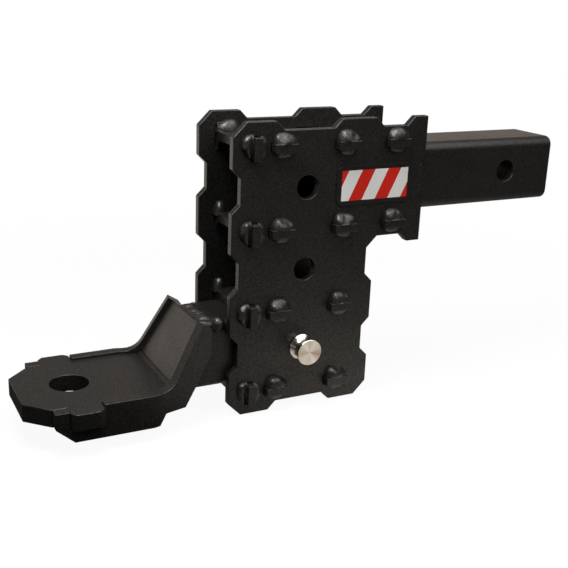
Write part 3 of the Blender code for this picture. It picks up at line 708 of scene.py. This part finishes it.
def knobProfile(front, back):
    disc, flange, edge, rim, foot = (knob[name] for name in ("disc", "flange", "edge", "rim", "foot"))
    cut, dish = knob["edgeCut"], knob["dish"]
    profile = [(0, front + dish), ((disc - edge) / 2, front + dish / 2), (disc - edge, front)]
    profile += [(disc - cut, front + cut), (disc, front + edge), (disc, front + rim - edge)]
    for i in range(knob["steps"] + 1):
        share = i / knob["steps"]
        outer = disc + (flange - disc) * share - edge
        depth = math.sin(math.pi * share) ** knob["hollow"] * (outer - knob["waist"])
        profile.append((outer - depth, front + rim + (back - front - rim - foot) * share))
    return profile + [(flange, back - foot + edge), (flange, back - edge), (flange - edge, back)]


def shaftProfile(back, nose):
    radius, neck, chamfer = pinShaft["radius"], pinShaft["neck"], pinShaft["chamfer"]
    profile = [(radius, back), (radius, nose - pinShaft["slopeStart"]), (neck, nose - pinShaft["neckStart"])]
    profile += [(neck, nose - pinShaft["neckEnd"]), (radius, nose - pinShaft["slopeEnd"])]
    return profile + [(radius, nose - chamfer), (radius - chamfer, nose), (0, nose)]


def hitchPin():
    front, nose = pinLow.y, pinHigh.y
    back = plateLoops["right_side_plate"][1] - knob["off"]
    profile = knobProfile(front, back) + shaftProfile(back, nose)
    made = turnedPiece("hitch_pin_dressed", profile, pinAxis, polished, "hitch_pin",
                       ["hitch_pin"])
    made.data.materials.append(paintedFanSteel)
    for face in made.data.polygons:
        face.material_index = int(face.center.y < front + knob["dish"])  # the disc's face carries the painted fan highlights
    return made


hitchPin()

lockEdge = {"round": 0.3 * mm, "segments": 2, "over": 50}
lockPieces = {"lock_barrel": (lockSteel, "lock", "stainless"), "lock_plug": (plugBrass, "lock_plug", "brass"),
              "lock_cap": (rubber, "lock_cap", "cap")}
for node, (finish, body, slot) in lockPieces.items():
    made = makeObject(node + "_dressed", cleanCopy(node), finish, body, [node])
    roundEdges(made, lockEdge["round"], lockEdge["segments"], lockEdge["over"])
print("pin and lock turned")


# Badge: a plain sticker of red and white bands on a black film

badge = {"red": (0.62, 0.02, 0.012), "white": (0.8, 0.8, 0.79), "black": (0.012, 0.012, 0.012), "bands": 7,
         "slant": 0.22, "edgeX": 0.06, "edgeZ": 0.12, "cells": 900, "rough": (0.3, 0.42), "specular": 0.3,
         "round": 0.15 * mm, "segments": 2}


def between(tree, value, edge):
    off, on = (0, 0, 0), (1, 1, 1)
    return ramp(tree, value, [(0.0, off), (edge, on), (1 - edge, off)], "CONSTANT")


def badgeFilm():
    made, tree, shader = newMaterial("badge film")
    place = objectPlace(tree)
    low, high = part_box("wing_badge")
    parts = splitAxes(tree, place)
    across = spread(tree, parts["X"], 0.0, 1.0, low.x, high.x)
    up = spread(tree, parts["Z"], 0.0, 1.0, low.z, high.z)
    slanted = maths(tree, "MULTIPLY_ADD", up, -badge["slant"], across)
    along = spread(tree, slanted, 0.0, 1.0, start=-badge["slant"])
    colours, count = (badge["red"], badge["white"]), badge["bands"]
    bands = ramp(tree, along, [(i / count, colours[i % 2]) for i in range(count)], "CONSTANT")
    black = (*badge["black"], 1.0)
    printed = mixed(tree, between(tree, across, badge["edgeX"]), black, bands)
    feed(tree, shader.inputs["Base Color"], mixed(tree, between(tree, up, badge["edgeZ"]), black, printed))
    cells = addNode(tree, "ShaderNodeTexVoronoi", Scale=badge["cells"])
    feed(tree, cells.inputs["Vector"], place)
    feed(tree, shader.inputs["Roughness"], spread(tree, cells.outputs["Distance"], *badge["rough"]))
    shader.inputs["Specular IOR Level"].default_value = badge["specular"]
    return made


def makeBadge():
    made = makeObject("wing_badge_dressed", cleanCopy("wing_badge"), badgeFilm(), "drop_frame",
                      ["wing_badge"])
    return roundEdges(made, badge["round"], badge["segments"])


makeBadge()
print("badge made")


# Stage: a pale floor, four lamps, a sky and the camera

stage = {"size": 60.0, "rough": 0.9, "specular": 0.0,
         "seenPale": 0.85, "mirroredPaintedShade": 0.02, "bouncePale": 0.1,
         "seenNear": 0.94, "seenFar": 1.0, "nearEnd": 0.25, "farStart": 0.7,
         "mirroredBack": 1.0, "backStart": 0.12, "backEnd": 0.24,
         # the pool is a painted pool of light and the side a painted bright strip, both only in what the coat
         # mirrors of the floor
         "paintedPool": (0.05, -0.08, 0.0), "paintedPoolBright": 1.45, "paintedPoolReach": 0.065,
         "paintedPoolLeft": -0.13, "paintedPoolRight": -0.04,
         "paintedStripBright": 0.5, "sideFar": -0.65, "sideNear": -0.3,
         "warm": (1.0, 0.91, 0.82, 1.0), "plain": (1.0, 1.0, 1.0, 1.0)}


# What the camera sees, what the coat mirrors and what plainly lights, each with its own strength
def rayShare(tree, seen, mirrored, plain):
    path = addNode(tree, "ShaderNodeLightPath").outputs
    shiny = maths(tree, "MAXIMUM", path["Is Glossy Ray"], path["Is Transmission Ray"])
    unseen = mixed(tree, shiny, plain, mirrored, "FLOAT")
    return mixed(tree, path["Is Camera Ray"], unseen, seen, "FLOAT")


def warmed(tree):
    path = addNode(tree, "ShaderNodeLightPath").outputs
    return mixed(tree, path["Is Camera Ray"], stage["warm"], stage["plain"])


# What the coat mirrors of the floor: the white floor behind, kept dark in front and close behind the object
# as a painted shade, a painted pool of light in front of the plates and a painted bright strip far to the
# left
def floorMirrored(tree, place):
    parts = splitAxes(tree, place)
    behind = graded(tree, parts["Y"], stage["backStart"], stage["backEnd"], 0.0, stage["mirroredBack"])
    away = vectorMaths(tree, "DISTANCE", place, stage["paintedPool"], "Value")
    reached = maths(tree, "ADD", away, stage["paintedPoolReach"])
    faded = maths(tree, "DIVIDE", stage["paintedPoolBright"] * stage["paintedPoolReach"], reached)
    inside = graded(tree, parts["X"], stage["paintedPoolLeft"], stage["paintedPoolRight"], 0.0, 1.0)
    paintedPool = maths(tree, "MULTIPLY", faded, inside)
    left = graded(tree, parts["X"], stage["sideFar"], stage["sideNear"], stage["paintedStripBright"], 0.0)
    return maths(tree, "MAXIMUM", maths(tree, "MAXIMUM", behind, paintedPool), left)


def floorFinish():
    made, tree, shader = newMaterial("pale floor")
    # The floor is pale only to the camera; to the coat's mirror it is nearly black, a painted shade, and it
    # bounces little light
    pale = rayShare(tree, stage["seenPale"], stage["mirroredPaintedShade"], stage["bouncePale"])
    feed(tree, shader.inputs["Base Color"], pale)
    shader.inputs["Roughness"].default_value = stage["rough"]
    shader.inputs["Specular IOR Level"].default_value = stage["specular"]
    place = objectPlace(tree)
    reach = vectorMaths(tree, "DISTANCE", place, (0.0, 0.0, 0.0), "Value")
    seen = graded(tree, reach, stage["nearEnd"], stage["farStart"], stage["seenNear"], stage["seenFar"])
    glow = addNode(tree, "ShaderNodeEmission", Strength=1.0)
    feed(tree, glow.inputs["Color"], warmed(tree))
    mix = addNode(tree, "ShaderNodeMixShader")
    feed(tree, mix.inputs["Fac"], rayShare(tree, seen, floorMirrored(tree, place), 0.0))
    feed(tree, mix.inputs[1], shader.outputs["BSDF"])
    feed(tree, mix.inputs[2], glow.outputs["Emission"])
    feed(tree, tree.nodes["Material Output"].inputs["Surface"], mix.outputs["Shader"])
    return made


def makeFloor():
    half = stage["size"] / 2
    bm = bmesh.new()
    corners = ((-half, -half), (half, -half), (half, half), (-half, half))
    bm.faces.new([bm.verts.new((x, y, 0)) for x, y in corners])
    mesh = bpy.data.meshes.new("floor")
    bm.to_mesh(mesh)
    bm.free()
    made = bpy.data.objects.new("floor", mesh)
    made.location = ((cadLow.x + cadHigh.x) / 2, 0, cadLow.z)
    mesh.materials.append(floorFinish())
    bpy.context.scene.collection.objects.link(made)


makeFloor()

lamps = {
    "upper left": {"place": (-0.42, -0.1, 0.466), "aim": (-0.15, -0.03, -0.05), "size": (0.25, 0.25),
                   "power": 3.8, "colour": (1.0, 0.98, 0.96)},
    "front high": {"place": (0.0, -0.33, 0.62), "aim": (-0.13, -0.03, -0.05), "size": (1.0, 1.0),
                   "power": 8.0, "colour": (1.0, 0.97, 0.93)},
    "back left": {"place": (-0.8, 0.9, 0.0), "aim": (-0.2, 0.0, 0.0), "size": (0.6, 0.5),
                  "power": 0.8, "colour": (1.0, 0.84, 0.72)},
    "back right": {"place": (0.5, 0.9, 0.13), "aim": (-0.1, 0.0, 0.0), "size": (1.0, 0.5),
                   "power": 0.9, "colour": (1.0, 0.8, 0.66)},
}


def addLamp(name, lamp):
    data = bpy.data.lights.new(name, "AREA")
    data.shape = "RECTANGLE"
    data.size, data.size_y = lamp["size"]
    data.energy = lamp["power"]
    data.color = lamp["colour"]
    made = bpy.data.objects.new(name, data)
    made.location = lamp["place"]
    toward = Vector(lamp["aim"]) - Vector(lamp["place"])
    made.rotation_euler = toward.to_track_quat("-Z", "Y").to_euler()
    made.visible_camera = False
    bpy.context.scene.collection.objects.link(made)


for name, lamp in lamps.items():
    addLamp(name, lamp)

sky = {"light": 0.035, "seen": 1.0, "mirroredBack": 0.6, "mirroredFront": 0.03, "backStart": 0.2,
       "backEnd": 0.7, "sideHalf": 0.5, "rightDim": 0.6, "highStart": 0.15, "highEnd": 0.5, "highDim": 0.4}


def makeSky():
    world = bpy.data.worlds.new("studio")
    world.use_nodes = True
    tree = world.node_tree
    back = tree.nodes["Background"]
    feed(tree, back.inputs["Color"], warmed(tree))
    parts = splitAxes(tree, addNode(tree, "ShaderNodeTexCoord").outputs["Generated"])
    mirrored = graded(tree, parts["Y"], sky["backStart"], sky["backEnd"], sky["mirroredFront"],
                      sky["mirroredBack"])
    for share in (graded(tree, parts["X"], -sky["sideHalf"], sky["sideHalf"], 1.0, sky["rightDim"]),
                  graded(tree, parts["Z"], sky["highStart"], sky["highEnd"], 1.0, sky["highDim"])):
        mirrored = maths(tree, "MULTIPLY", mirrored, share)
    feed(tree, back.inputs["Strength"], rayShare(tree, sky["seen"], mirrored, sky["light"]))
    bpy.context.scene.world = world


makeSky()

photoView = {"place": (-0.489635, -0.580934, 0.130376), "yaw": 26.706, "pitch": 17.455, "roll": 1.862,
             "lens": 57.52, "sensor": 36, "shift": (0.0319, -0.0128), "nearest": 0.01}


def makeCamera():
    yaw, pitch, roll = (math.radians(photoView[name]) for name in ("yaw", "pitch", "roll"))
    forward = Vector((math.sin(yaw) * math.cos(pitch), math.cos(yaw) * math.cos(pitch), -math.sin(pitch)))
    right = Vector((math.cos(yaw), -math.sin(yaw), 0))
    up = right.cross(forward)
    rolledRight = right * math.cos(roll) + up * math.sin(roll)
    rolledUp = up * math.cos(roll) - right * math.sin(roll)
    data = bpy.data.cameras.new("photo view")
    data.sensor_width = photoView["sensor"]
    data.lens = photoView["lens"]
    data.shift_x, data.shift_y = photoView["shift"]
    data.clip_start = photoView["nearest"]
    made = bpy.data.objects.new("photo view", data)
    turn = Matrix((rolledRight, rolledUp, -forward)).transposed()
    made.matrix_world = Matrix.Translation(photoView["place"]) @ turn.to_4x4()
    bpy.context.scene.collection.objects.link(made)
    bpy.context.scene.camera = made


makeCamera()
bpy.context.scene.view_settings.view_transform = "Standard"
print("stage set")

bpy.context.view_layer.update()
